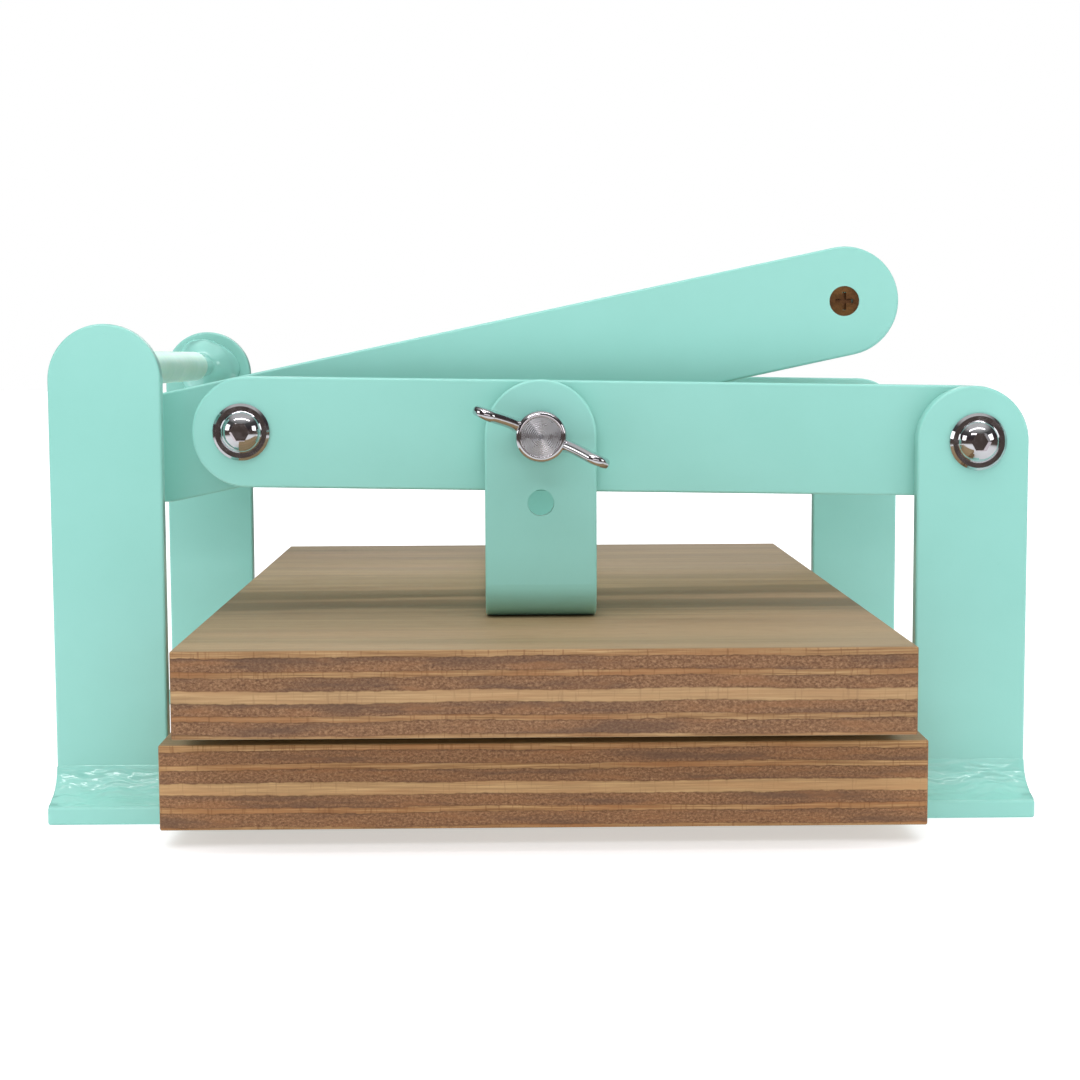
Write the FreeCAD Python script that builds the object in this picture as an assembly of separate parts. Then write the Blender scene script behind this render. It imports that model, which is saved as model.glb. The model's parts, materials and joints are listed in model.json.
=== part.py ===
import FreeCAD, Part
import math
import os

# Bookbinding press: two plywood boards in a welded flat-bar frame. A pair of beams, pivoted at the
# right uprights, carries the presser and the top board. A lever, pivoted near the beams' left end,
# bears up against a roller between the tall left uprights and so forces the beams down.
# Millimetres. +Z is up, the front faces -Y and +X is to the right. The origin is on the table,
# under the middle of the whole press.

V = FreeCAD.Vector
FRONT = -1
REAR = 1
SIDES = {"front": FRONT, "rear": REAR}
Z_AXIS = V(0, 0, 1)

# ---------------------------------------------------------------- driving dimensions
bar_width = 25.4
bar_thickness = 4.0
bar_radius = bar_width / 2
edge_round = 0.6

board_thickness = 18.5
board_depth = 228.6
bottom_board_width = 164.0
top_board_width = 154.0
board_gap = 3.5
top_board_forward = 13.0
board_edge_round = 0.5

frame_width = 222.2
frame_depth = 161.0
frame_mid_y = top_board_forward / 2
left_upright_top = 112.0
right_upright_top = 97.2

face_gap = 0.3
bolt_radius = 3.0
running_bore = bolt_radius + 0.05
frame_pivot_offset = 1.0

beam_tip = 11.3
lever_pivot_x = -68.2
lever_pivot_z = 87.4
lever_tail = 20.0
lever_reach = 142.7
lever_angle = 11.9
lever_spacer_length = 8.0

rod_z = 101.8
roller_radius = 4.2
roller_length = 120.0
roller_slack = 0.5

presser_hole_z = 86.4
presser_hole_pitch = 15.3
presser_bend = 8.0
presser_stub = 12.0

# ---------------------------------------------------------------- places worked out from them
upright_x = frame_width / 2 - bar_radius
frame_pivot_x = upright_x + frame_pivot_offset
frame_pivot_z = right_upright_top - bar_radius
bottom_board_z = bar_thickness
top_board_z = bottom_board_z + board_thickness + board_gap
presser_z = top_board_z + board_thickness
bar_mid_depth = bar_thickness / 2

# Depths are measured inward from the outer faces of the uprights, the same at front and rear.
beam_depth = bar_thickness + face_gap
beam_back = beam_depth + bar_thickness
lever_depth = beam_back + lever_spacer_length + face_gap
lever_back = lever_depth + bar_thickness
grip_half_length = frame_depth / 2 - lever_back

lever_cos = math.cos(math.radians(lever_angle))
lever_sin = math.sin(math.radians(lever_angle))
handle_x = lever_pivot_x + lever_reach * lever_cos
handle_z = lever_pivot_z + lever_reach * lever_sin

# ---------------------------------------------------------------- hardware sizes
head_flange_radius = 6.5
head_flange_height = 1.2
head_dome_radius = 4.8
head_height = 4.0
socket_flats = 4.0
socket_depth = 2.0
nut_flats = 10.0
lock_nut_height = 6.0
lock_nut_collar = 1.4
weld_nut_height = 5.0
bolt_overrun = 0.8
spacer_radius = 5.0

hub_radius = 5.8
hub_height = 7.5
wing_thickness = 3.0
wing_span = 32.8
wing_tip_radius = 3.4
wing_root_radius = 3.0
wing_tip_height = 9.2
wing_tilt = 22.7
wing_shank = 13.0

grip_radius = 10.0
grip_end_round = 1.5
wood_screw_radius = 2.0
wood_screw_length = 22.0
countersunk_radius = 3.5
countersunk_recess = 0.3
cross_slot_width = 0.9
cross_slot_length = 4.2
cross_slot_depth = 1.5

pan_head_radius = 4.0
pan_head_height = 2.2
board_screw_length = 15.0
top_screw_spread = 50.0
bottom_screw_x = 50.0

base_fillet_height = 7.0
base_fillet_reach = 10.0
inner_fillet = 4.0
weld_sag = 0.38
rod_bead_radius = 7.6
rod_bead_length = 5.0


# ---------------------------------------------------------------- helpers
def layer_y(side, depth):
    """Y of a face that lies depth inward from the uprights' outer face, at front or rear."""
    return frame_mid_y + side * (frame_depth / 2 - depth)


def link_face(start, end, start_radius, end_radius):
    """Flat outline in XZ round two circles; a radius of zero gives a square end."""
    run = end - start
    along = V(run).normalize()
    across = V(-along.z, 0, along.x)
    lean = 0.0
    if start_radius and end_radius:
        lean = (start_radius - end_radius) / run.Length
    lift = math.sqrt(1 - lean * lean)
    half = max(start_radius, end_radius)

    def corner(centre, radius, way):
        if not radius:
            return centre + across * (way * half)
        return centre + along * (lean * radius) + across * (way * lift * radius)

    def cap(centre, radius, way):
        ends = corner(centre, radius, way), corner(centre, radius, -way)
        if not radius:
            return Part.LineSegment(*ends).toShape()
        return Part.Arc(ends[0], centre + along * (way * radius), ends[1]).toShape()

    top = Part.LineSegment(corner(start, start_radius, 1), corner(end, end_radius, 1)).toShape()
    low = Part.LineSegment(corner(end, end_radius, -1), corner(start, start_radius, -1)).toShape()
    edges = [top, cap(end, end_radius, 1), low, cap(start, start_radius, -1)]
    return Part.Face(Part.Wire(edges))


def face_edges(shape):
    """Edges that lie in a plane facing the front or the rear."""
    return [edge for edge in shape.Edges if edge.BoundBox.YLength < edge_round]


def flat_bar(start, end, start_radius, end_radius, side, depth):
    """Bar stock standing on edge in one layer of the frame, with its outline edges eased."""
    face = link_face(start, end, start_radius, end_radius)
    bar = face.extrude(V(0, -side * bar_thickness, 0))
    bar = bar.makeFillet(edge_round, face_edges(bar))
    bar.translate(V(0, layer_y(side, depth), 0))
    return bar


def across_pin(x, z, radius, side, depth, length):
    """Cylinder along Y that starts at a layer and runs inward."""
    return Part.makeCylinder(radius, length, V(x, layer_y(side, depth), z), V(0, -side, 0))


def turned(points):
    """Solid of revolution about local Z from a closed outline of (radius, height) points."""
    wire = Part.makePolygon([V(r, 0, h) for r, h in points + points[:1]])
    return Part.Face(wire).revolve(V(0, 0, 0), Z_AXIS, 360)


def hex_prism(flats, height):
    """Hexagonal prism standing on the local origin."""
    radius = flats / 2 / math.cos(math.pi / 6)
    turns = [k * math.pi / 3 for k in range(7)]
    corners = [V(radius * math.cos(turn), radius * math.sin(turn), 0) for turn in turns]
    return Part.Face(Part.makePolygon(corners)).extrude(V(0, 0, height))


def facing(shape, side, x, z, depth):
    """Put a piece whose local Z points outward on a layer of the front or the rear."""
    shape.rotate(V(0, 0, 0), V(1, 0, 0), -90 * side)
    shape.translate(V(x, layer_y(side, depth), z))
    return shape


def both_sides(make):
    """Group of the front and the rear copy of a piece."""
    return Part.Compound([make(side) for side in SIDES.values()])


# ---------------------------------------------------------------- frame
def base_bar(side):
    """Bar laid flat under one pair of uprights, countersunk from below for the board screws."""
    mid_y = layer_y(side, bar_mid_depth)
    bar = Part.makeBox(frame_width, bar_width, bar_thickness, V(-frame_width / 2, mid_y - bar_radius, 0))
    bar = bar.makeFillet(edge_round, bar.Edges)
    for x in (-bottom_screw_x, bottom_screw_x):
        bar = bar.cut(screw_envelope(countersunk_screw(board_screw_length), x, mid_y))
    return bar


def upright(side, x, top):
    """Vertical bar with a round top, standing on the base bar."""
    foot = V(x, 0, bar_thickness)
    crown = V(x, 0, top - bar_radius)
    return flat_bar(foot, crown, 0, bar_radius, side, 0)


def right_upright(side):
    """Short upright, drilled for the beam's pivot bolt."""
    bar = upright(side, upright_x, right_upright_top)
    return bar.cut(across_pin(frame_pivot_x, frame_pivot_z, bolt_radius, side, 0, bar_thickness))


def weld_fillet(x, side, depth, outward, reach, height):
    """Concave weld along an upright's foot; outward is 1 on the outer face and -1 on the inner."""
    y = layer_y(side, depth)
    way = side * outward
    left = x - bar_radius + edge_round
    heel = V(left, y, bar_thickness)
    crest = V(left, y, bar_thickness + height)
    toe = V(left, y + way * reach, bar_thickness)
    sag = V(left, y + way * reach * weld_sag, bar_thickness + height * weld_sag)
    arc = Part.Arc(crest, sag, toe).toShape()
    edges = [Part.LineSegment(heel, crest).toShape(), arc, Part.LineSegment(toe, heel).toShape()]
    return Part.Face(Part.Wire(edges)).extrude(V(bar_width - 2 * edge_round, 0, 0))


def base_weld_beads():
    """Outer and inner weld at the foot of each upright."""
    beads = []
    for side in SIDES.values():
        for x in (-upright_x, upright_x):
            beads.append(weld_fillet(x, side, 0, 1, base_fillet_reach, base_fillet_height))
            beads.append(weld_fillet(x, side, bar_thickness, -1, inner_fillet, inner_fillet))
    return Part.Compound(beads)


def fulcrum_rod():
    """Round rod welded between the inner faces of the left uprights."""
    length = frame_depth - 2 * bar_thickness
    return across_pin(-upright_x, rod_z, bolt_radius, FRONT, bar_thickness, length)


def rod_weld_bead(side):
    """Domed ring of weld at one end of the rod."""
    rise = rod_bead_radius - bolt_radius
    bulge = V(bolt_radius + rise * 0.78, 0, -rod_bead_length * 0.7)
    foot = V(bolt_radius, 0, 0)
    rim = V(rod_bead_radius, 0, 0)
    neck = V(bolt_radius, 0, -rod_bead_length)
    edges = [Part.LineSegment(foot, rim).toShape(), Part.Arc(rim, bulge, neck).toShape()]
    edges.append(Part.LineSegment(neck, foot).toShape())
    bead = Part.Face(Part.Wire(edges)).revolve(V(0, 0, 0), Z_AXIS, 360)
    return facing(bead, side, -upright_x, rod_z, bar_thickness)


def fulcrum_roller():
    """Sleeve that turns and slides freely on the rod, here slid up to the front weld bead."""
    start_depth = bar_thickness + rod_bead_length + roller_slack
    sleeve = across_pin(-upright_x, rod_z, roller_radius, FRONT, start_depth, roller_length)
    sleeve = sleeve.makeFillet(edge_round, sleeve.Edges)
    return sleeve.cut(across_pin(-upright_x, rod_z, running_bore, FRONT, start_depth, roller_length))


# ---------------------------------------------------------------- beams and lever
def beam(side):
    """Bar with two round ends from the right upright to the lever pivot, drilled for three bolts."""
    left = V(lever_pivot_x - beam_tip + bar_radius, 0, lever_pivot_z)
    right = V(upright_x, 0, frame_pivot_z)
    bar = flat_bar(left, right, bar_radius, bar_radius, side, beam_depth)
    bores = [(lever_pivot_x, lever_pivot_z, bolt_radius), (0, presser_hole_z, running_bore)]
    bores.append((frame_pivot_x, frame_pivot_z, running_bore))
    for x, z, radius in bores:
        bar = bar.cut(across_pin(x, z, radius, side, beam_depth, bar_thickness))
    return bar


def lever_plate(side):
    """Lever arm with a short tail left of its pivot, countersunk for the handle screw."""
    tail = V(lever_pivot_x - lever_tail * lever_cos, 0, lever_pivot_z - lever_tail * lever_sin)
    tip = V(handle_x, 0, handle_z)
    bar = flat_bar(tail, tip, bar_radius, bar_radius, side, lever_depth)
    pivot = across_pin(lever_pivot_x, lever_pivot_z, running_bore, side, lever_depth, bar_thickness)
    bar = bar.cut(pivot)
    mouth = Part.makeCylinder(countersunk_radius, countersunk_recess, V(0, 0, -countersunk_recess))
    seat = screw_blank(countersunk_screw(wood_screw_length)).fuse(mouth)
    return bar.cut(facing(seat, side, handle_x, handle_z, lever_depth))


def handle_grip():
    """Round wooden bar between the lever plates."""
    grip = across_pin(handle_x, handle_z, grip_radius, FRONT, lever_back, 2 * grip_half_length)
    grip = grip.makeFillet(grip_end_round, face_edges(grip))
    for side in SIDES.values():
        hole = screw_blank(countersunk_screw(wood_screw_length))
        grip = grip.cut(facing(hole, side, handle_x, handle_z, lever_depth))
    return grip


def bent_block(depth, floor, radius):
    """Block as deep as the strap's outside or inside, with its two lower corners rounded."""
    block = Part.makeBox(bar_width, depth, presser_stub, V(-bar_radius, -depth / 2, floor))
    corners = [edge for edge in face_edges(block) if edge.BoundBox.ZMax < floor + edge_round]
    return block.makeFillet(radius, corners)


def presser_bracket():
    """Strap bent to a U: a tab outside each beam, and a web on the top board."""
    outer = bent_block(frame_depth, 0, presser_bend)
    inner_depth = frame_depth - 2 * bar_thickness
    strap = outer.cut(bent_block(inner_depth, bar_thickness, presser_bend - bar_thickness))
    strap.translate(V(0, frame_mid_y, presser_z))
    tab_foot = V(0, 0, presser_z + presser_stub)
    for side in SIDES.values():
        tab = link_face(tab_foot, V(0, 0, presser_hole_z), 0, bar_radius)
        tab = tab.extrude(V(0, -side * bar_thickness, 0))
        tab.translate(V(0, layer_y(side, 0), 0))
        strap = strap.fuse(tab)
    strap = strap.removeSplitter()
    strap = strap.makeFillet(edge_round, strap_edges(strap))
    for side in SIDES.values():
        for z in (presser_hole_z, presser_hole_z - presser_hole_pitch):
            strap = strap.cut(across_pin(0, z, running_bore, side, 0, bar_thickness))
    for y in top_screw_places():
        strap = strap.cut(Part.makeCylinder(wood_screw_radius, bar_thickness, V(0, y, presser_z)))
    return strap


def strap_edges(strap):
    """Edges along the strap's two long sides, where the paint has a soft corner."""
    chosen = []
    for edge in strap.Edges:
        middle = edge.valueAt((edge.FirstParameter + edge.LastParameter) / 2)
        rounded_top = middle.z > presser_hole_z and edge.BoundBox.YLength < edge_round
        if rounded_top or edge.BoundBox.XLength < edge_round:
            chosen.append(edge)
    return chosen


def top_screw_places():
    """Y of the two screws that hang the top board on the presser's web."""
    return [frame_mid_y - top_screw_spread / 2, frame_mid_y + top_screw_spread / 2]


# ---------------------------------------------------------------- fasteners
def button_bolt(shank):
    """Flanged button-head bolt with a hexagonal socket; its bearing face is at local zero."""
    rise = head_height - head_flange_height
    sphere = (head_dome_radius ** 2 + rise ** 2) / (2 * rise)
    half_angle = math.asin(head_dome_radius / sphere) / 2
    dome_foot = V(head_dome_radius, 0, head_flange_height)
    dome_mid = V(sphere * math.sin(half_angle), 0, head_height - sphere * (1 - math.cos(half_angle)))
    crown = V(0, 0, head_height)
    flange_rim = V(head_flange_radius, 0, head_flange_height / 2)
    shoulder = V(head_flange_radius - edge_round, 0, head_flange_height)
    corners = [crown, V(0, 0, -shank), V(bolt_radius, 0, -shank), V(bolt_radius, 0, 0)]
    corners += [V(head_flange_radius, 0, 0), flange_rim, shoulder, dome_foot]
    edges = [Part.LineSegment(a, b).toShape() for a, b in zip(corners, corners[1:])]
    edges.append(Part.Arc(dome_foot, dome_mid, crown).toShape())
    bolt = Part.Face(Part.Wire(edges)).revolve(V(0, 0, 0), Z_AXIS, 360)
    socket = hex_prism(socket_flats, socket_depth)
    socket.translate(V(0, 0, head_height - socket_depth))
    return bolt.cut(socket)


def frame_pivot_bolt(side):
    """Bolt through a right upright, on which the beam turns."""
    shank = beam_back + face_gap + lock_nut_height + bolt_overrun
    return facing(button_bolt(shank), side, frame_pivot_x, frame_pivot_z, 0)


def lever_pivot_bolt(side):
    """Bolt through a beam and its spacer, on which the lever plate turns."""
    shank = lever_back + face_gap + lock_nut_height + bolt_overrun - beam_depth
    return facing(button_bolt(shank), side, lever_pivot_x, lever_pivot_z, beam_depth)


def lock_nut():
    """Hexagonal nut with a round collar, hanging inward from local zero."""
    body_height = lock_nut_height - lock_nut_collar
    body = hex_prism(nut_flats, body_height)
    chamfer_height = body_height + lock_nut_height / 2
    body = body.common(Part.makeCone(nut_flats * 0.72, nut_flats * 0.49, chamfer_height))
    collar = Part.makeCylinder(nut_flats * 0.43, lock_nut_height)
    nut = body.fuse(collar).cut(Part.makeCylinder(bolt_radius, lock_nut_height))
    nut.rotate(V(0, 0, 0), V(1, 0, 0), 180)
    return nut


def frame_pivot_nut(side):
    return facing(lock_nut(), side, frame_pivot_x, frame_pivot_z, beam_back + face_gap)


def lever_pivot_nut(side):
    return facing(lock_nut(), side, lever_pivot_x, lever_pivot_z, lever_back + face_gap)


def lever_spacer(side):
    """Tube that holds the lever plate clear of the nut welded behind the beam."""
    x, z, length = lever_pivot_x, lever_pivot_z, lever_spacer_length
    tube = across_pin(x, z, spacer_radius, side, beam_back, length)
    return tube.cut(across_pin(x, z, bolt_radius, side, beam_back, length))


def weld_nut(side):
    """Nut welded behind the beam, which the wing bolt screws into."""
    nut = hex_prism(nut_flats, weld_nut_height).cut(Part.makeCylinder(running_bore, weld_nut_height))
    return facing(nut, side, 0, presser_hole_z, beam_back + weld_nut_height)


def wing_bolt(side):
    """Bolt with a turned hub and two cast wings."""
    rim = hub_radius - edge_round
    outline = [(0, -wing_shank), (bolt_radius, -wing_shank), (bolt_radius, 0), (hub_radius, 0)]
    outline += [(hub_radius, hub_height - edge_round), (rim, hub_height)]
    groove_pitch = rim / 5
    for ring in (4, 3, 2):
        outer = ring * groove_pitch + groove_pitch / 2
        outline.append((outer, hub_height))
        outline.append((outer - groove_pitch / 2, hub_height - edge_round / 2))
    outline += [(groove_pitch, hub_height), (0, hub_height - edge_round)]
    bolt = turned(outline)
    tip_x = wing_span / 2 - wing_tip_radius
    for way in (-1, 1):
        root = V(way * wing_root_radius, 0, wing_root_radius)
        tip = V(way * tip_x, 0, wing_tip_height)
        wing = link_face(root, tip, wing_root_radius - edge_round, wing_tip_radius)
        wing = wing.extrude(V(0, wing_thickness, 0))
        wing = wing.makeFillet(wing_thickness * 0.4, face_edges(wing))
        wing.translate(V(0, -wing_thickness / 2, 0))
        bolt = bolt.fuse(wing)
    bolt.rotate(V(0, 0, 0), Z_AXIS, side * wing_tilt)
    return facing(bolt, side, 0, presser_hole_z, -face_gap)


def screw_blank(screw):
    """The screw's outline without its cross recess, for cutting its seat."""
    return screw[0]


def countersunk_screw(length):
    """Flat-headed wood screw a little below local zero, as (blank, cross recess)."""
    top = -countersunk_recess
    cone = countersunk_radius - wood_screw_radius
    tip = top - length
    outline = [(0, tip), (wood_screw_radius, tip + 2 * wood_screw_radius)]
    outline += [(wood_screw_radius, top - cone), (countersunk_radius, top), (0, top)]
    return turned(outline), cross_recess(top)


def pan_screw(length):
    """Round-headed wood screw whose bearing face is at local zero, as (blank, cross recess)."""
    outline = [(0, -length), (wood_screw_radius, 2 * wood_screw_radius - length), (wood_screw_radius, 0)]
    outline += [(pan_head_radius, 0), (pan_head_radius, pan_head_height / 2)]
    outline += [(pan_head_radius * 0.75, pan_head_height), (0, pan_head_height)]
    return turned(outline), cross_recess(pan_head_height)


def cross_recess(top):
    """Cross-shaped driver recess, cut down from a height."""
    size = V(cross_slot_length, cross_slot_width, cross_slot_depth)
    bars = []
    for length, width in ((size.x, size.y), (size.y, size.x)):
        bars.append(Part.makeBox(length, width, size.z, V(-length / 2, -width / 2, top - size.z)))
    return bars[0].fuse(bars[1])


def handle_screw(side):
    blank, recess = countersunk_screw(wood_screw_length)
    return facing(blank.cut(recess), side, handle_x, handle_z, lever_depth)


def screw_envelope(screw, x, y):
    """Seat for an upward screw with its head in the underside of a base bar."""
    mouth = Part.makeCylinder(countersunk_radius, countersunk_recess, V(0, 0, -countersunk_recess))
    seat = screw_blank(screw).fuse(mouth)
    seat.rotate(V(0, 0, 0), V(1, 0, 0), 180)
    seat.translate(V(x, y, 0))
    return seat


def bottom_board_screws():
    """Four screws up through the base bars into the bottom board."""
    screws = []
    for side in SIDES.values():
        for x in (-bottom_screw_x, bottom_screw_x):
            blank, recess = countersunk_screw(board_screw_length)
            screw = blank.cut(recess)
            screw.rotate(V(0, 0, 0), V(1, 0, 0), 180)
            screw.translate(V(x, layer_y(side, bar_mid_depth), 0))
            screws.append(screw)
    return Part.Compound(screws)


def top_board_screws():
    """Two screws down through the presser's web into the top board."""
    screws = []
    for y in top_screw_places():
        blank, recess = pan_screw(board_screw_length)
        screw = blank.cut(recess)
        screw.translate(V(0, y, presser_z + bar_thickness))
        screws.append(screw)
    return Part.Compound(screws)


# ---------------------------------------------------------------- boards
def board(width, mid_y, z):
    """Plywood board with sanded edges."""
    slab = Part.makeBox(width, board_depth, board_thickness, V(-width / 2, mid_y - board_depth / 2, z))
    return slab.makeFillet(board_edge_round, slab.Edges)


def bottom_board():
    slab = board(bottom_board_width, frame_mid_y, bottom_board_z)
    for side in SIDES.values():
        for x in (-bottom_screw_x, bottom_screw_x):
            screw = countersunk_screw(board_screw_length)
            slab = slab.cut(screw_envelope(screw, x, layer_y(side, bar_mid_depth)))
    return slab


def top_board():
    slab = board(top_board_width, frame_mid_y - top_board_forward, top_board_z)
    for y in top_screw_places():
        hole = screw_blank(pan_screw(board_screw_length))
        hole.translate(V(0, y, presser_z + bar_thickness))
        slab = slab.cut(hole)
    return slab


# ---------------------------------------------------------------- all the nodes
def make_nodes():
    nodes = {}
    for name, side in SIDES.items():
        nodes[name + "_base_bar"] = base_bar(side)
        nodes[name + "_left_upright"] = upright(side, -upright_x, left_upright_top)
        nodes[name + "_right_upright"] = right_upright(side)
        nodes[name + "_beam"] = beam(side)
        nodes[name + "_lever_plate"] = lever_plate(side)
        nodes[name + "_wing_bolt"] = wing_bolt(side)
        nodes[name + "_frame_pivot_bolt"] = frame_pivot_bolt(side)
        nodes[name + "_lever_pivot_bolt"] = lever_pivot_bolt(side)
    nodes["base_weld_beads"] = base_weld_beads()
    nodes["fulcrum_rod"] = fulcrum_rod()
    nodes["rod_weld_beads"] = both_sides(rod_weld_bead)
    nodes["fulcrum_roller"] = fulcrum_roller()
    nodes["frame_pivot_nuts"] = both_sides(frame_pivot_nut)
    nodes["lever_pivot_nuts"] = both_sides(lever_pivot_nut)
    nodes["lever_spacers"] = both_sides(lever_spacer)
    nodes["weld_nuts"] = both_sides(weld_nut)
    nodes["handle_grip"] = handle_grip()
    nodes["handle_screws"] = both_sides(handle_screw)
    nodes["presser_bracket"] = presser_bracket()
    nodes["top_board"] = top_board()
    nodes["top_board_screws"] = top_board_screws()
    nodes["bottom_board"] = bottom_board()
    nodes["bottom_board_screws"] = bottom_board_screws()
    return nodes


os.makedirs("parts", exist_ok=True)
for node_name, node_shape in make_nodes().items():
    node_shape.exportStep("parts/" + node_name + ".step")
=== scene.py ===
"""Looks for the bookbinding press: mint powder-coated bar, plywood boards and chromed bolts."""

import json
import math

import bmesh
import bpy
from mathutils import Matrix, Vector, noise


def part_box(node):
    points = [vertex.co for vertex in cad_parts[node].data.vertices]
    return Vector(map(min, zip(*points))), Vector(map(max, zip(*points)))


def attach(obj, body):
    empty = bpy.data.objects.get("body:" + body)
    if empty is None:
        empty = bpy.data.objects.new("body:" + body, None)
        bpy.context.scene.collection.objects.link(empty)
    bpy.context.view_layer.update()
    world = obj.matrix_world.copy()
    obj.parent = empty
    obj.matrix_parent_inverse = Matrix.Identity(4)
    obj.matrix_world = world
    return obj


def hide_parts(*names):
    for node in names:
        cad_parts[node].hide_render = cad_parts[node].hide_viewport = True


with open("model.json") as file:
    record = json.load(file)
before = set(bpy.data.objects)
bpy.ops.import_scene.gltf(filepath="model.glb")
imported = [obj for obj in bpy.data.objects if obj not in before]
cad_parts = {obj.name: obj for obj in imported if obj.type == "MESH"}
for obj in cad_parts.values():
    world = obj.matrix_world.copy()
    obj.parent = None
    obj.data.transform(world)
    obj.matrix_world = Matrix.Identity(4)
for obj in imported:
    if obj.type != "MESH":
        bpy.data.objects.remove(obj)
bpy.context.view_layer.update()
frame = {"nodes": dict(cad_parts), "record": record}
nodes = frame["nodes"]
MM = 0.001
FRONT, REAR = -1, 1


# ---------------------------------------------------------------- colours and nodes
def grey(value):
    """Linear grey."""
    return value, value, value, 1.0


def rgb(red, green, blue):
    """Linear colour from 0-255 display values."""

    def linear(value):
        value /= 255
        return value / 12.92 if value <= 0.04045 else ((value + 0.055) / 1.055) ** 2.4

    return linear(red), linear(green), linear(blue), 1.0


BLACK, WHITE = grey(0.0), grey(1.0)

# The Mix node repeats its sockets for each type of data, so they go by number: first input,
# second input and result. The factor is input 0 for both types.
MIX_SOCKETS = {"FLOAT": (2, 3, 0), "RGBA": (6, 7, 2)}


class Nodes:
    """Short way to build a shader node tree."""

    def __init__(self, tree):
        self.tree = tree

    def node(self, kind, options=None, **inputs):
        """Adds a node; options set its properties, inputs its sockets or the links into them."""
        made = self.tree.nodes.new("ShaderNode" + kind)
        for key, value in (options or {}).items():
            setattr(made, key, value)
        for key, value in inputs.items():
            self.feed(made.inputs[key.replace("_", " ")], value)
        return made

    def feed(self, socket, value):
        """Links another node's output into a socket, or sets the socket's constant."""
        if isinstance(value, bpy.types.NodeSocket):
            self.tree.links.new(value, socket)
        else:
            socket.default_value = value

    def split(self, vector):
        """The x, y and z of a vector."""
        return self.node("SeparateXYZ", Vector=vector).outputs

    def math(self, operation, first, second=0.0):
        made = self.node("Math", {"operation": operation})
        self.feed(made.inputs[0], first)
        self.feed(made.inputs[1], second)
        return made.outputs[0]

    def mix(self, data_type, factor, first, second, kind="MIX"):
        """Mixes two values (FLOAT) or two colours (RGBA)."""
        made = self.node("Mix", {"data_type": data_type, "blend_type": kind})
        first_input, second_input, result = MIX_SOCKETS[data_type]
        self.feed(made.inputs[0], factor)
        self.feed(made.inputs[first_input], first)
        self.feed(made.inputs[second_input], second)
        return made.outputs[result]

    def blend(self, factor, first, second, kind="MIX"):
        return self.mix("RGBA", factor, first, second, kind)

    def ramp(self, value, stops, interpolation="LINEAR"):
        """Colour ramp through (position, colour) stops."""
        made = self.node("ValToRGB", Fac=value)
        made.color_ramp.interpolation = interpolation
        elements = made.color_ramp.elements
        elements[0].position, elements[0].color = stops[0]
        elements[1].position, elements[1].color = stops[-1]
        for position, colour in stops[1:-1]:
            elements.new(position).color = colour
        return made.outputs["Color"]


class Shader(Nodes):
    """Short way to build one principled node material."""

    def __init__(self, name, **settings):
        self.material = bpy.data.materials.new(name)
        self.material.use_nodes = True
        super().__init__(self.material.node_tree)
        self.surface = self.tree.nodes["Principled BSDF"]
        for socket, value in settings.items():
            self.surface.inputs[socket.replace("_", " ")].default_value = value

    def place(self):
        """Position on the object at rest, in metres, which moves with the piece."""
        return self.node("TexCoord").outputs["Object"]

    def face(self):
        """Surface direction in the object's own axes."""
        return self.node("TexCoord").outputs["Normal"]

    def stretch(self, vector, scale):
        return self.node("Mapping", Vector=vector, Scale=scale).outputs[0]

    def noise(self, vector, scale, detail=3.0, roughness=0.55, distortion=0.0):
        made = self.node("TexNoise", Vector=vector, Scale=scale, Detail=detail)
        made.inputs["Roughness"].default_value = roughness
        made.inputs["Distortion"].default_value = distortion
        return made.outputs["Fac"]

    def span(self, value, low, high, to=(0.0, 1.0)):
        """Maps low..high to the values in to, with smooth ends."""
        made = self.node("MapRange", {"interpolation_type": "SMOOTHSTEP"})
        for index, item in enumerate((value, low, high, *to)):
            self.feed(made.inputs[index], item)
        return made.outputs[0]

    def bump(self, height, distance, strength):
        return self.node("Bump", Height=height, Distance=distance, Strength=strength).outputs[0]

    def finish(self, colour, roughness, normal=None):
        """Feeds the surface and returns the finished material."""
        self.feed(self.surface.inputs["Base Color"], colour)
        self.feed(self.surface.inputs["Roughness"], roughness)
        if normal is not None:
            self.feed(self.surface.inputs["Normal"], normal)
        return self.material


# ---------------------------------------------------------------- paint, plastic and metal
def mint_paint():
    """Glossy powder coat with a fine orange peel and a faint unevenness of colour."""
    s = Shader("mint_powder_coat", Coat_Weight=0.5, Coat_Roughness=0.1, Specular_IOR_Level=0.4)
    place = s.place()
    cloud = s.noise(place, 30.0, detail=5.0, roughness=0.6)
    speck = s.noise(place, 1900.0, detail=1.0)
    colour = s.blend(s.span(cloud, 0.2, 0.8), rgb(144, 210, 198), rgb(149, 214, 203))
    colour = s.blend(s.span(speck, 0.70, 0.80, to=(0.0, 0.15)), colour, rgb(128, 197, 180))
    peel = s.noise(place, 420.0, detail=2.0, roughness=0.4)
    pits = s.noise(place, 90.0, detail=1.0)
    height = s.math("ADD", s.math("MULTIPLY", peel, 0.35), s.math("MULTIPLY", pits, 0.5))
    rough = s.span(peel, 0.2, 0.8, to=(0.28, 0.36))
    return s.finish(colour, rough, s.bump(height, distance=0.1 * MM, strength=0.3))


def weld_paint():
    """The same paint, thicker and glossier where it has flowed over a weld."""
    s = Shader("mint_over_weld", Coat_Weight=1.0, Coat_Roughness=0.04, Specular_IOR_Level=0.5)
    place = s.place()
    cloud = s.noise(place, 60.0, detail=2.0)
    ripple = s.noise(place, 420.0, detail=2.0, roughness=0.5)
    colour = s.blend(s.span(cloud, 0.3, 0.7), rgb(146, 211, 199), rgb(151, 215, 204))
    rough = s.span(ripple, 0.2, 0.8, to=(0.14, 0.2))
    return s.finish(colour, rough, s.bump(ripple, distance=0.1 * MM, strength=0.3))


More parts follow.
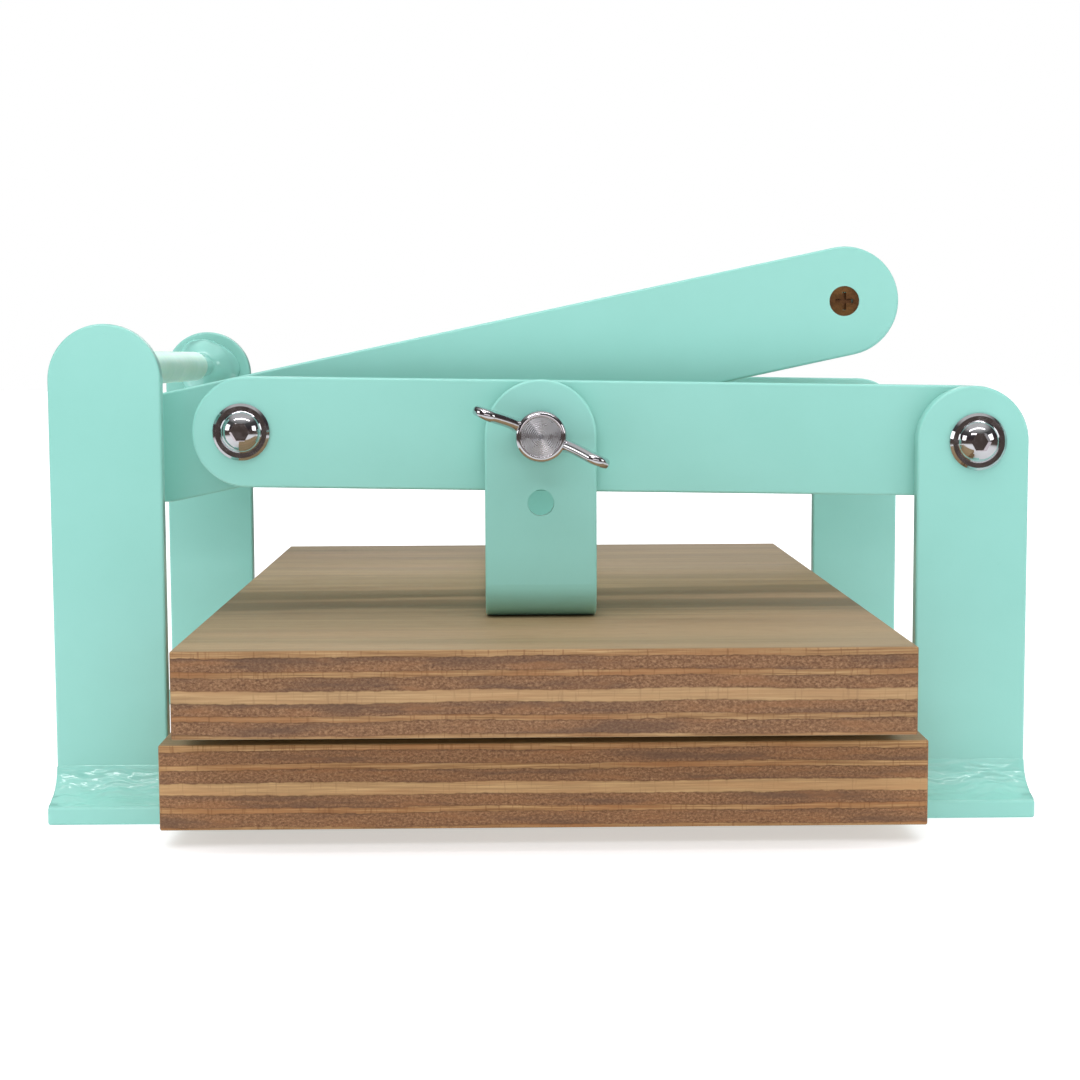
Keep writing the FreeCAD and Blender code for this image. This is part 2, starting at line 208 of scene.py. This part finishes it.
def roller_plastic():
    """Milky nylon that lets a little light in."""
    s = Shader("milky_nylon", Subsurface_Weight=0.25, Subsurface_Scale=0.004, Coat_Weight=0.1)
    place = s.place()
    cloud = s.noise(place, 120.0, detail=2.0)
    rub = s.noise(s.stretch(place, (300.0, 900.0, 300.0)), 1.0, detail=2.0)
    colour = s.blend(s.span(cloud, 0.3, 0.7), rgb(188, 236, 220), rgb(198, 242, 228))
    rough = s.span(rub, 0.3, 0.7, to=(0.34, 0.5))
    return s.finish(colour, rough, s.bump(rub, distance=0.06 * MM, strength=0.4))


def metal(name, tints, roughness, scratch_scale, bump):
    """Plated steel whose tint and polish vary a little."""
    s = Shader(name, Metallic=1.0)
    place = s.place()
    cloud = s.noise(place, 160.0, detail=2.0)
    scratches = s.noise(place, scratch_scale, roughness=0.6)
    colour = s.blend(s.span(cloud, 0.3, 0.7), *tints)
    rough = s.span(scratches, 0.3, 0.75, to=roughness)
    return s.finish(colour, rough, s.bump(scratches, distance=0.04 * MM, strength=bump))


# ---------------------------------------------------------------- wood
# Share of the board's thickness from its underside up to the top of each ply but the last.
PLY_TOPS = (0.04, 0.2, 0.268, 0.41, 0.553, 0.697, 0.768, 0.918)

# Dark stripes in the face veneer: metres from the board's front edge at its middle, half width,
# and how far the stripe drifts back for each metre to the right.
HEARTWOOD = ((0.0748, 0.0098, 0.016), (0.0995, 0.0110, 0.070))

# Moves the edge pattern along with the board's height, so that no two boards have the same one.
PATTERN_SHIFT = 7


def board_edges(s, place, low, high, on_side):
    """Colour and relief of the plies; on_side is 1 where the surface faces along x."""
    x, y, z = s.split(place)

    # Along the edge runs x on the front and rear and y on the two sides.
    along = s.mix("FLOAT", on_side, x, y)
    edge_place = s.node("CombineXYZ", X=along, Y=z, Z=low.z * PATTERN_SHIFT).outputs[0]

    def pattern(scale_along, scale_up, detail=3.0, roughness=0.55, distortion=0.0):
        stretched = s.stretch(edge_place, (scale_along, scale_up, 1.0))
        return s.noise(stretched, 1.0, detail, roughness, distortion)

    # Height as a share of the thickness, a little wavy and rough.
    level = s.math("DIVIDE", s.math("SUBTRACT", z, low.z), high.z - low.z)
    wave = s.span(pattern(24.0, 80.0, detail=2.0), 0.2, 0.8, to=(-0.02, 0.02))
    fuzz = s.span(pattern(420.0, 420.0, detail=2.0), 0.2, 0.8, to=(-0.008, 0.008))
    level = s.math("ADD", s.math("ADD", level, wave), fuzz)

    # Every second ply shows long grain on the front, and the others show it on the sides.
    stops = [(0.0, WHITE)]
    for index, top in enumerate(PLY_TOPS):
        stops.append((top, BLACK if index % 2 == 0 else WHITE))
    long_ply = s.ramp(level, stops, "CONSTANT")
    is_long = s.math("ABSOLUTE", s.math("SUBTRACT", long_ply, on_side))

    # Long grain: pale streaks, crossed by hairline knife checks.
    streak = pattern(60.0, 2400.0, detail=4.0, roughness=0.65)
    stops = [(0.27, rgb(112, 80, 52)), (0.5, rgb(156, 121, 82)), (0.74, rgb(192, 160, 116))]
    long_colour = s.ramp(streak, stops)
    flame = s.span(pattern(22.0, 330.0, detail=2.0), 0.4, 0.66, to=(0.0, 0.65))
    long_colour = s.blend(flame, long_colour, rgb(150, 102, 64))
    checks = s.span(pattern(1500.0, 160.0, detail=2.0), 0.56, 0.7, to=(0.0, 0.55))
    long_colour = s.blend(checks, long_colour, rgb(118, 80, 50))

    # End grain: coarse open pores in blotches of brown and grey brown.
    pores = pattern(1500.0, 2100.0, detail=4.0, roughness=0.75)
    stops = [(0.3, rgb(84, 58, 42)), (0.5, rgb(130, 95, 67)), (0.7, rgb(168, 133, 98))]
    end_colour = s.ramp(pores, stops)
    dull = pattern(26.0, 290.0, detail=3.0, roughness=0.6)
    end_colour = s.blend(s.span(dull, 0.46, 0.66, to=(0.0, 0.7)), end_colour, rgb(96, 74, 60))
    warm = pattern(60.0, 380.0, detail=2.0, roughness=0.6, distortion=0.3)
    end_colour = s.blend(s.span(warm, 0.5, 0.72, to=(0.0, 0.5)), end_colour, rgb(150, 106, 70))

    # The middle ply is paler than the rest.
    colour = s.blend(is_long, end_colour, long_colour)
    above, below = s.span(level, 0.40, 0.42), s.span(level, 0.54, 0.56, to=(1.0, 0.0))
    core = s.math("MULTIPLY", s.math("MULTIPLY", above, below), 0.3)
    colour = s.blend(core, colour, rgb(204, 176, 132))

    # A thin dark glue line where one ply meets the next.
    nearest = None
    for top in PLY_TOPS:
        gap = s.math("ABSOLUTE", s.math("SUBTRACT", level, top))
        nearest = gap if nearest is None else s.math("MINIMUM", nearest, gap)
    glue = s.span(nearest, 0.003, 0.014, to=(0.6, 0.0))
    glue = s.math("MULTIPLY", glue, pattern(90.0, 300.0, detail=2.0))
    colour = s.blend(glue, colour, rgb(70, 44, 28))
    return colour, s.blend(is_long, pores, streak)


def board_faces(s, place, low):
    """Colour of the sanded veneer, its grain, and the fibre that gives its relief."""
    x, y, _ = s.split(place)
    grain = s.stretch(place, (9.0, 210.0, 9.0))
    grain = s.noise(grain, 1.0, detail=5.0, roughness=0.65, distortion=0.6)
    fibre = s.stretch(place, (110.0, 2400.0, 1.0))
    fibre = s.noise(fibre, 1.0, detail=3.0, roughness=0.7)
    broad = s.stretch(place, (3.0, 26.0, 1.0))
    broad = s.noise(broad, 1.0, detail=2.0, roughness=0.5, distortion=0.8)
    stops = [(0.27, rgb(124, 104, 72)), (0.5, rgb(150, 129, 96)), (0.76, rgb(172, 150, 115))]
    colour = s.ramp(grain, stops)
    colour = s.blend(s.span(broad, 0.45, 0.65, to=(0.0, 0.5)), colour, rgb(170, 139, 106))
    colour = s.blend(s.span(fibre, 0.5, 0.74, to=(0.0, 0.5)), colour, rgb(108, 86, 58))

    # Heartwood stripes run the whole width of the sheet.
    wander = s.noise(s.stretch(place, (14.0, 40.0, 1.0)), 1.0, detail=3.0, roughness=0.6)
    across = s.math("ADD", y, s.span(wander, 0.2, 0.8, to=(-3 * MM, 3 * MM)))
    for offset, half_width, drift in HEARTWOOD:
        middle = s.math("ADD", s.math("MULTIPLY", x, drift), low.y + offset)
        distance = s.math("ABSOLUTE", s.math("SUBTRACT", across, middle))
        stripe = s.span(distance, half_width * 0.6, half_width * 1.05, to=(0.5, 0.0))
        colour = s.blend(stripe, colour, rgb(98, 86, 60))
    return colour, grain, fibre


def plywood(name, node, painted_light_gain):
    """Nine crossed plies on the edges, multiplied by a painted light gain, and a tan veneer on
    the faces.
    """
    s = Shader(name, Specular_IOR_Level=0.25)
    low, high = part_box(node)
    place = s.place()
    facing_x, _, facing_z = s.split(s.face())
    on_side = s.span(s.math("ABSOLUTE", facing_x), 0.6, 0.8)
    on_face = s.span(s.math("ABSOLUTE", facing_z), 0.55, 0.85)
    edges, edge_relief = board_edges(s, place, low, high, on_side)
    # Painted light: the edges are multiplied by a gain that brightens the shaded bottom board.
    edges = s.blend(1.0, edges, (*painted_light_gain, 1.0), "MULTIPLY")
    faces, grain, fibre = board_faces(s, place, low)
    rough = s.span(grain, 0.2, 0.8, to=(0.5, 0.64))
    relief = s.bump(s.blend(on_face, edge_relief, fibre), distance=0.3 * MM, strength=0.6)
    return s.finish(s.blend(on_face, edges, faces), rough, relief)


def turned_wood():
    """Lacquered beech with its grain along the bar."""
    s = Shader("lacquered_beech", Coat_Weight=0.4, Coat_Roughness=0.2)
    place = s.place()
    grain = s.stretch(place, (420.0, 12.0, 420.0))
    grain = s.noise(grain, 1.0, detail=4.0, roughness=0.6, distortion=0.3)
    flecks = s.noise(s.stretch(place, (1500.0, 160.0, 1500.0)), 1.0, detail=2.0)
    stops = [(0.25, rgb(176, 128, 82)), (0.5, rgb(206, 162, 114)), (0.75, rgb(222, 184, 138))]
    colour = s.ramp(grain, stops)
    colour = s.blend(s.span(flecks, 0.6, 0.72, to=(0.0, 0.6)), colour, rgb(150, 100, 60))
    rough = s.span(grain, 0.2, 0.8, to=(0.3, 0.42))
    return s.finish(colour, rough, s.bump(flecks, distance=0.1 * MM, strength=0.35))


# ---------------------------------------------------------------- finishes of the CAD nodes
def paint_node(name, material):
    """Gives a carried-over CAD node its finished material."""
    mesh = nodes[name].data
    if not mesh.materials:
        mesh.materials.append(material)
    for index in range(len(mesh.materials)):
        mesh.materials[index] = material


weld_mint = weld_paint()
chrome = metal(
    "polished_chrome",
    tints=(rgb(205, 205, 208), rgb(216, 216, 218)),
    roughness=(0.05, 0.13),
    scratch_scale=700.0,
    bump=0.15,
)
satin = metal(
    "turned_chrome",
    tints=(rgb(176, 178, 182), rgb(196, 198, 200)),
    roughness=(0.24, 0.36),
    scratch_scale=900.0,
    bump=0.3,
)
zinc = metal(
    "bright_zinc",
    tints=(rgb(176, 180, 186), rgb(196, 198, 202)),
    roughness=(0.22, 0.38),
    scratch_scale=900.0,
    bump=0.4,
)
bronze = metal(
    "dark_yellow_zinc",
    tints=(rgb(92, 66, 44), rgb(122, 92, 56)),
    roughness=(0.14, 0.3),
    scratch_scale=800.0,
    bump=0.5,
)

# The record's material slots; the boards have their own materials.
FINISHES = {
    "mint_paint": mint_paint(),
    "handle_wood": turned_wood(),
    "roller_plastic": roller_plastic(),
    "chrome": chrome,
    "zinc_steel": zinc,
    "yellow_zinc": bronze,
}
for part in frame["record"]["subparts"]:
    if part["material_slot"] in FINISHES:
        paint_node(part["node"], FINISHES[part["material_slot"]])

# The bottom board's edges are painted a little brighter than the top one's: painted light
# against the shade under the top board's overhang.
for board, painted_light_gain in (("top_board", (1.0, 1.0, 1.0)), ("bottom_board", (1.22, 1.19, 1.13))):
    paint_node(board, plywood(board + "_plywood", board, painted_light_gain))


# ---------------------------------------------------------------- shapes from rings
def skin(bm, rings):
    """Closed surface through equal rings of places, flat at both ends.

    Returns the bands of faces between the rings, in order.
    """
    rings = [[bm.verts.new(place) for place in ring] for ring in rings]
    bands = []
    for first, second in zip(rings, rings[1:]):
        band = []
        for index in range(len(first)):
            after = (index + 1) % len(first)
            corners = (first[index], first[after], second[after], second[index])
            band.append(bm.faces.new(corners))
        bands.append(band)
    bm.faces.new(rings[0])
    bm.faces.new(rings[-1])
    return bands


def add_object(name, data):
    made = bpy.data.objects.new(name, data)
    bpy.context.scene.collection.objects.link(made)
    return made


def closed_piece(name, bm, body, slot, materials, *replaced):
    """Turns a bmesh into a smooth piece that stands for CAD nodes."""
    bmesh.ops.recalc_face_normals(bm, faces=bm.faces)
    mesh = bpy.data.meshes.new(name)
    bm.to_mesh(mesh)
    bm.free()
    for polygon in mesh.polygons:
        polygon.use_smooth = True
    for material in materials:
        mesh.materials.append(material)
    made = add_object(name, mesh)
    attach(made, body)
    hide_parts(*replaced)


# ---------------------------------------------------------------- welds
# Height up the upright, reach over the foot and depth of the ripples.
OUTER_FILLET = (7.6 * MM, 10.3 * MM, 0.5 * MM)
INNER_FILLET = (4 * MM, 4 * MM, 0.22 * MM)

# How far the hidden faces of a weld sit inside the steel.
FILLET_SUNK, BELL_SUNK = 0.15 * MM, 0.2 * MM

# A fillet shrinks a little over this share of its half length at each end.
RIM, RIM_SHRINK = 0.12, 0.06

# How much the lumps change a bell's reach.
LUMPINESS = 0.3


def ropes(along, down, seed):
    """Height of a hand-laid weld's ripples, about -1 to 1; both places in metres."""
    twist = noise.noise((along * 120, down * 90, seed + 9.0)) * 0.003
    coarse = noise.noise((along * 180, (down + twist) * 460, seed))
    fine = noise.noise((along * 420, (down + twist) * 1000, seed + 4.0))
    return coarse + 0.35 * fine


def fillet_rings(upright, side, height, reach, ripple, seed):
    """Hollow weld along the foot of an upright, on its front or rear face."""
    low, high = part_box(upright)
    face = low.y if side == FRONT else high.y
    columns, rows = 150, 44
    rings = []
    for column in range(columns + 1):
        share = column / columns
        x = low.x + (high.x - low.x) * share
        rim = max(0.0, abs(share - 0.5) * 2 - (1 - RIM)) / RIM
        size = 1 - RIM_SHRINK * rim * rim
        ring = []
        for row in range(rows + 1):
            # A quarter turn of hollow, mixed with a straight slope.
            straight = row / rows
            angle = straight * math.pi / 2
            out = reach * (0.75 * (1 - math.cos(angle)) ** 1.5 + 0.25 * straight) * size
            up = height * (0.45 * (1 - math.sin(angle)) + 0.55 * (1 - straight)) * size
            fade = math.sin(math.pi * straight) ** 0.6 * (1 - 0.5 * rim)
            lift = ripple * fade * ropes(x, straight * (height + reach), seed)
            out += lift * math.cos(angle) - FILLET_SUNK * (row == 0)
            up += lift * math.sin(angle) - FILLET_SUNK * (row == rows)
            ring.append((x, face + side * out, low.z + max(up, -FILLET_SUNK)))
        ring.append((x, face - side * FILLET_SUNK, low.z - FILLET_SUNK))
        rings.append(ring)
    return rings


def base_welds():
    """Outer and inner fillets at the feet of all four uprights."""
    bm = bmesh.new()
    seed = 1.0
    for row, side in (("front", FRONT), ("rear", REAR)):
        for hand in ("left", "right"):
            upright = row + "_" + hand + "_upright"
            skin(bm, fillet_rings(upright, side, *OUTER_FILLET, seed))
            skin(bm, fillet_rings(upright, -side, *INNER_FILLET, seed + 20))
            seed += 3.7
    closed_piece("foot_weld_fillets", bm, "frame", "mint_paint", [weld_mint], "base_weld_beads")


def bell_rings(start, inward, length, radius):
    """Lumpy bell around the fulcrum rod, widest at start and narrowing to the rod."""
    low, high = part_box("fulcrum_rod")
    middle_x, middle_z = (low.x + high.x) / 2, (low.z + high.z) / 2
    neck = (high.z - low.z) / 2 + 0.1 * MM
    turns, rows = 96, 40
    rings = []
    for row in range(rows + 1):
        share = row / rows
        swell = (1 - share**1.7) ** 0.75
        depth = start + inward * (share * length - BELL_SUNK * (row == 0))
        ring = []
        for turn in range(turns):
            angle = 2 * math.pi * turn / turns
            right, up = math.cos(angle), math.sin(angle)
            lump = noise.noise((right * 1.1, up * 1.1, share * 1.3 + start * 90))
            lump += 0.2 * noise.noise((right * 2.4, up * 2.4, share * 2.6 + 7))
            reach = neck + (radius - neck) * swell * (1 + LUMPINESS * lump)
            ring.append((middle_x + reach * right, depth, middle_z + reach * up))
        rings.append(ring)
    return rings


def rod_welds():
    """A bell of weld at each end of the fulcrum rod; the rear one is the larger."""
    bm = bmesh.new()
    low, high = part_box("fulcrum_rod")
    skin(bm, bell_rings(low.y, 1, length=5.2 * MM, radius=7.8 * MM))
    skin(bm, bell_rings(high.y, -1, length=8.5 * MM, radius=9.0 * MM))
    closed_piece("rod_weld_lumps", bm, "frame", "mint_paint", [weld_mint], "rod_weld_beads")


# ---------------------------------------------------------------- wing bolts, in mm
SHANK, THREAD_TURNS, THREAD_CREST, THREAD_ROOT = 13.0, 12, 2.98, 2.62
HUB_RADIUS, HUB_HEIGHT, HUB_ROUND = 5.8, 7.5, 1.1
DISC_RADIUS, DISC_DEPTH, DISC_RINGS, RING_STEPS = 4.5, 0.2, 9, 6
WING_ROOT, WING_TIP = Vector((2.8, 2.9)), Vector((13.0, 9.2))
WING_TILT = math.radians(22.7)
ROOT_HALF_WIDTH, TIP_ROUND = 2.1, 3.35
ROOT_HALF_THICKNESS, THINNING, SWAY = 1.36, 0.12, 0.3
ROOT_FILLET, FILLET_START, FILLET_LENGTH = 0.5, 2.6, 3.2

# Radius of the tiny flat ends that close the outline on the bolt's axis.
AXIS = 0.05


def hub_outline():
    """Radius and height from the shank's end to the middle of the turned disc.

    Also returns where in the outline the disc starts.
    """
    # Shank and its thread.
    outline = [(AXIS, -SHANK), (2.4, -SHANK)]
    for turn in range(THREAD_TURNS):
        outline += [(THREAD_CREST, turn + 0.6 - SHANK), (THREAD_ROOT, turn + 1.1 - SHANK)]

    # Hub, with a broken edge at its seat and a rounded rim.
    outline += [(2.7, -0.05), (5.3, -0.02), (5.68, 0.08), (HUB_RADIUS, 0.4)]
    round_radius, round_height = HUB_RADIUS - HUB_ROUND, HUB_HEIGHT - HUB_ROUND
    for step in range(13):
        angle = step / 12 * math.pi * 0.56
        radius = round_radius + HUB_ROUND * math.cos(angle)
        outline.append((radius, round_height + HUB_ROUND * math.sin(angle)))

    # Disc a little below the rim, with fine turned rings and a centre mark.
    disc_height = HUB_HEIGHT - DISC_DEPTH
    outline += [(DISC_RADIUS + 0.03, disc_height), (DISC_RADIUS - 0.04, disc_height - 0.04)]
    disc_start = len(outline)
    pitch = (DISC_RADIUS - 0.6) / DISC_RINGS
    for step in range(DISC_RINGS * RING_STEPS):
        radius = DISC_RADIUS - 0.1 - step / RING_STEPS * pitch
        ripple = 0.045 * math.cos(step / RING_STEPS * 2 * math.pi)
        outline.append((radius, disc_height + ripple))
    outline += [(0.58, HUB_HEIGHT - 0.25), (0.5, HUB_HEIGHT - 0.8)]
    outline += [(0.24, HUB_HEIGHT - 0.9), (AXIS, HUB_HEIGHT - 0.5)]
    return outline, disc_start


def turned_rings(outline):
    """The outline turned about the bolt's axis, as (radial, height, aside) places."""
    turns = 96
    angles = [2 * math.pi * turn / turns for turn in range(turns)]
    return [
        [(radius * math.cos(angle), height, radius * math.sin(angle)) for angle in angles]
        for radius, height in outline
    ]


def wing_rings(way):
    """One cast wing, as (radial, height, aside) places.

    It is a flat leaf that leaves the hub with a fillet, and thins and widens to a round tip.
    """
    run = (WING_TIP - WING_ROOT).length
    forward = (WING_TIP - WING_ROOT).normalized()
    across = Vector((-forward.y, forward.x))
    steps, turns = 56, 32
    rings = []
    for step in range(steps + 1):
        travel = (run + TIP_ROUND * 0.995) * (1 - (1 - step / steps) ** 1.5)
        share = min(1.0, travel / run)
        beyond = max(0.0, travel - run) / TIP_ROUND
        half_width = ROOT_HALF_WIDTH + (TIP_ROUND - ROOT_HALF_WIDTH) * share**1.5
        half_width *= math.sqrt(1 - beyond**2)
        fillet = max(0.0, 1 - max(0.0, travel - FILLET_START) / FILLET_LENGTH) ** 2
        half_thickness = ROOT_HALF_THICKNESS - THINNING * share + ROOT_FILLET * fillet
        half_thickness *= math.sqrt(1 - beyond**4)
        centre = WING_ROOT + forward * travel
        sway = SWAY * math.sin(math.pi * share)
        ring = []
        for turn in range(turns):
            # Flat sides with a half round at each edge of the leaf.
            angle = 2 * math.pi * (turn + 0.5) / turns
            cap = math.copysign(max(0.0, half_width - half_thickness), math.cos(angle))
            point = centre + across * (cap + half_thickness * math.cos(angle))
            ring.append((way * point.x, point.y, sway + half_thickness * math.sin(angle)))
        rings.append(ring)
    return rings


def wing_bolt(row, side):
    """Turned hub with fine rings on its end, two wings and a threaded shank."""
    node = row + "_wing_bolt"
    low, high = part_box(node)
    seat = high.y - SHANK * MM if side == FRONT else low.y + SHANK * MM
    middle = Vector(((low.x + high.x) / 2, seat, (low.z + high.z) / 2))

    # The wings lean the way they do in the CAD, where the rightmost corner is a wing's tip.
    right_tip = max((corner.co for corner in nodes[node].data.vertices), key=lambda spot: spot.x)
    tilt = math.copysign(WING_TILT, right_tip.z - middle.z)
    along, out = Vector((math.cos(tilt), 0, math.sin(tilt))), Vector((0, side, 0))
    upward = Vector((-math.sin(tilt), 0, math.cos(tilt)))

    def put(rings):
        """Places in metres for (radial, height, aside) ones in mm."""

        def spot(radial, height, aside):
            return middle + (along * radial + out * height + upward * aside) * MM

        return [[spot(*place) for place in ring] for ring in rings]

    bm = bmesh.new()
    outline, disc_start = hub_outline()
    for band in skin(bm, put(turned_rings(outline)))[disc_start:]:
        for face in band:
            face.material_index = 1
    for way in (-1, 1):
        skin(bm, put(wing_rings(way)))
    closed_piece(row + "_winged_bolt", bm, row + "_wing", "chrome", [chrome, satin], node)


base_welds()
rod_welds()
wing_bolt("front", FRONT)
wing_bolt("rear", REAR)


# ---------------------------------------------------------------- floor, light and camera
FLOOR_RADIUS = 6.0
FLOOR_GLOW = 0.48
CEILING = 1.76  # strength of the world's light, except where it is looked at or mirrored
ROSE, PALE_PINK = (1.0, 0.92, 0.95), (1.0, 0.96, 1.0)

# Metres and radians; positive pitch looks down, and positive yaw to the right.
CAMERA_PLACE = (-0.0068, -0.5294, 0.1044)
CAMERA_YAW, CAMERA_PITCH, CAMERA_ROLL = 0.0144, 0.0914, -0.0046


def floor():
    """Wide pale floor, with a glow that keeps the shadow on it faint.

    Mirrored, it has no glow, and away from the press it is painted dark brown: a painted
    reflection of a dim room.
    """
    bm = bmesh.new()
    bmesh.ops.create_circle(bm, cap_ends=True, segments=96, radius=FLOOR_RADIUS)
    mesh = bpy.data.meshes.new("floor")
    bm.to_mesh(mesh)
    bm.free()
    s = Shader("floor_paper")
    grain = s.noise(s.place(), 60.0, detail=2.0)
    colour = s.blend(grain, rgb(218, 219, 221), rgb(221, 222, 224))
    x, y, _ = s.split(s.place())
    squares = s.math("ADD", s.math("MULTIPLY", x, x), s.math("MULTIPLY", y, y))
    mirrored = s.node("LightPath").outputs["Is Glossy Ray"]
    # Painted reflection: in mirrored rays the floor away from the press is painted dark brown,
    # standing in for a dim room.
    painted_dark_reflection = s.math("MULTIPLY", s.span(s.math("SQRT", squares), 0.3, 0.6), mirrored)
    s.finish(s.blend(painted_dark_reflection, colour, rgb(72, 56, 48)), 0.9)
    s.feed(s.surface.inputs["Emission Color"], s.blend(mirrored, WHITE, BLACK))
    s.feed(s.surface.inputs["Emission Strength"], FLOOR_GLOW)
    mesh.materials.append(s.material)
    made = add_object("floor", mesh)


def studio_world():
    """White to look at, a soft ceiling for lighting, and a dim room in reflections."""
    world = bpy.data.worlds.new("studio")
    world.use_nodes = True
    w = Nodes(world.node_tree)
    path = w.node("LightPath").outputs
    looked_at, mirrored = path["Is Camera Ray"], path["Is Glossy Ray"]
    _, _, height = w.split(w.node("TexCoord").outputs["Generated"])
    ceiling = w.ramp(height, [(0.0, grey(0.08)), (0.55, grey(0.14)), (0.8, WHITE)])
    near_floor, horizon = (0.10, 0.075, 0.07, 1), (0.04, 0.03, 0.035, 1)
    stops = [(0.0, near_floor), (0.3, horizon), (0.65, grey(0.08)), (0.9, grey(0.6))]
    room = w.ramp(height, stops)
    colour = w.blend(looked_at, w.blend(mirrored, ceiling, room), WHITE)
    plain = w.math("MAXIMUM", looked_at, mirrored)
    background = w.tree.nodes["Background"]
    w.feed(background.inputs["Color"], colour)
    w.feed(background.inputs["Strength"], w.mix("FLOAT", plain, CEILING, 1.0))
    bpy.context.scene.world = world


def area_light(name, place, target, size, power, colour=(1.0, 1.0, 1.0)):
    """Rectangular soft box pointed at a target; sizes in metres and power in watts."""
    data = bpy.data.lights.new(name, "AREA")
    data.shape = "RECTANGLE"
    data.size, data.size_y = size
    data.energy = power
    data.color = colour
    light = add_object(name, data)
    light.location = place
    aim = Vector(target) - Vector(place)
    light.rotation_euler = aim.to_track_quat("-Z", "Y").to_euler()


def studio():
    """Bright ceiling, soft boxes above and before the press, and weaker ones around it.

    The narrow strip overhead draws thin highlights on the welds.
    """
    studio_world()
    area_light("key", (-0.25, -0.85, 0.75), (0, -0.05, 0.05), (0.5, 0.1), 1.2, ROSE)
    area_light("low_front", (0.1, -1.5, 0.32), (0, 0, 0.03), (1.4, 0.4), 1.9, ROSE)
    area_light("right", (1.0, -0.5, 0.4), (0, 0, 0.06), (0.4, 0.4), 1.2)
    area_light("left", (-1.0, -0.4, 0.4), (0, 0, 0.06), (0.4, 0.4), 1.2)
    area_light("strip", (0.0, -0.42, 0.9), (0, -0.1, 0), (1.1, 0.05), 1.6, PALE_PINK)
    area_light("rear", (0.1, 1.3, 0.6), (0, 0, 0.05), (0.8, 0.4), 3.0)
    bpy.context.scene.view_settings.view_transform = "Standard"
    bpy.context.scene.view_settings.look = "None"


def camera():
    """Looks at the front of the press from about the height of its roller."""
    data = bpy.data.cameras.new("camera")
    data.lens = 67.0
    data.sensor_width = 36.0
    data.clip_start = 0.01
    made = add_object("camera", data)
    turn = Matrix.Rotation(-CAMERA_YAW, 4, "Z")
    turn = turn @ Matrix.Rotation(math.pi / 2 - CAMERA_PITCH, 4, "X")
    turn = turn @ Matrix.Rotation(CAMERA_ROLL, 4, "Z")
    made.matrix_world = Matrix.Translation(CAMERA_PLACE) @ turn
    bpy.context.scene.camera = made


floor()
studio()
camera()
